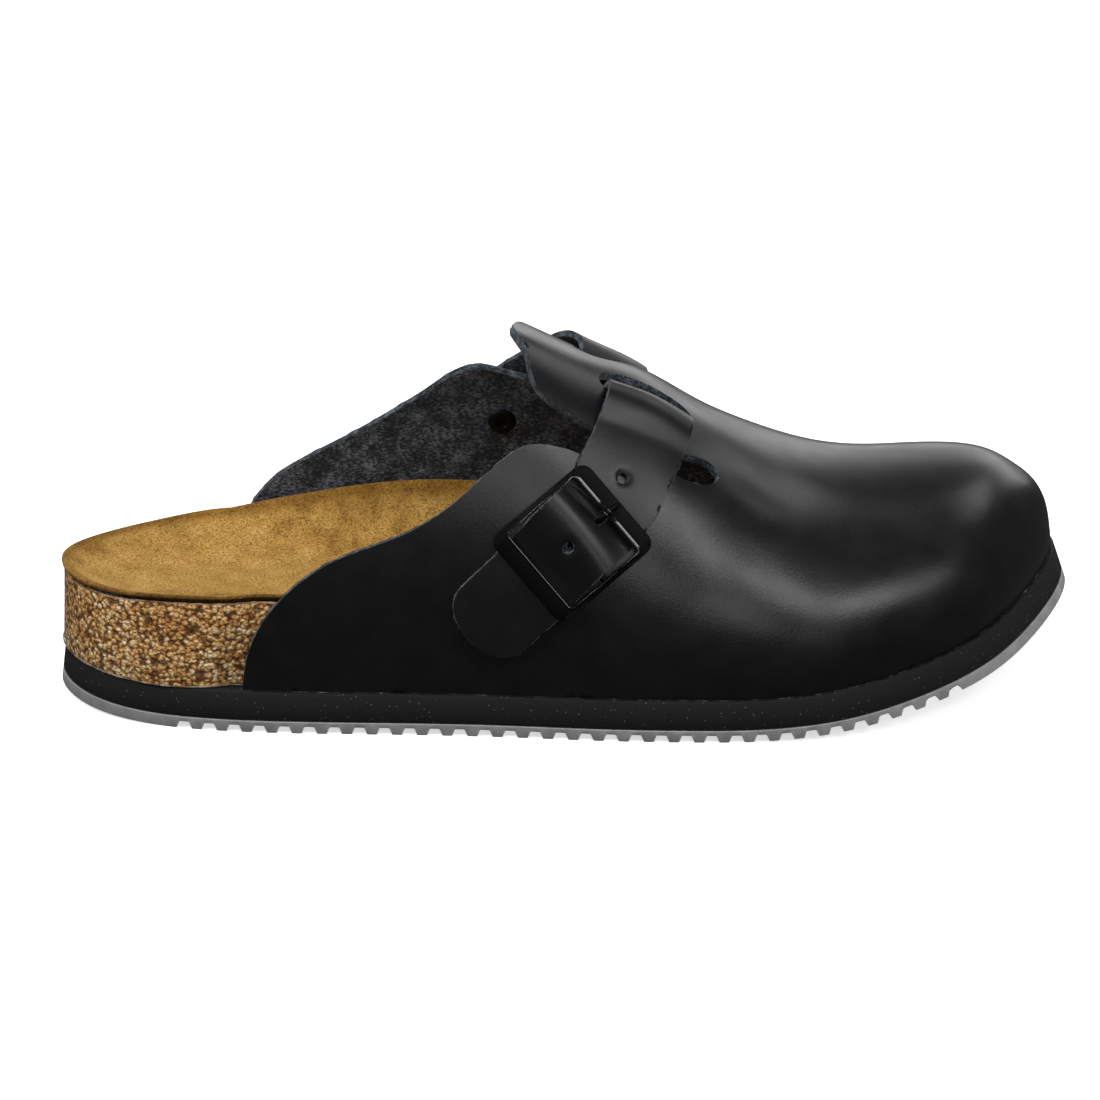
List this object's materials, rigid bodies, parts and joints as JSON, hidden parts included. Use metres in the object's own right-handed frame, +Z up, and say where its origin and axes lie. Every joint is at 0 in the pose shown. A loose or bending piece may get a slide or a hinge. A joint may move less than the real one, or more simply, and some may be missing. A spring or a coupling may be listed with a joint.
{
  "type": "clog shoe",
  "caption": "Closed-toe slip-on chef's clog for the right foot: black leather upper with a buckled strap over a tongue, cork footbed, foam midsole and lugged rubber sole.",
  "frame": {"origin": "on the floor, at the front edge of the smooth heel tread, in the middle of the heel's width", "axes": "+X to the toe along the sole, +Y to the inner (medial) side of the foot, +Z up"},
  "size_m": [0.2915, 0.106, 0.1072],
  "materials": {
    "outsole": "matte grey moulded rubber",
    "midsole": "matte black closed-cell foam",
    "footbed": "lacquered granulated cork",
    "insole": "tan suede, nap up",
    "upper": "black smooth full-grain leather, suede inside, raw cut edges",
    "strap": "black smooth leather",
    "buckle_frame": "gloss black lacquer",
    "buckle_prong": "gloss black lacquer",
    "rivet": "black lacquer"
  },
  "bodies": {
    "root": {"outsole": "outsole", "midsole": "midsole", "footbed": "footbed", "insole": "insole", "upper": "upper", "strap": "strap", "buckle_frame": "buckle_frame", "buckle_prong": "buckle_prong", "rivet": "rivet"}
  },
  "joints": []
}
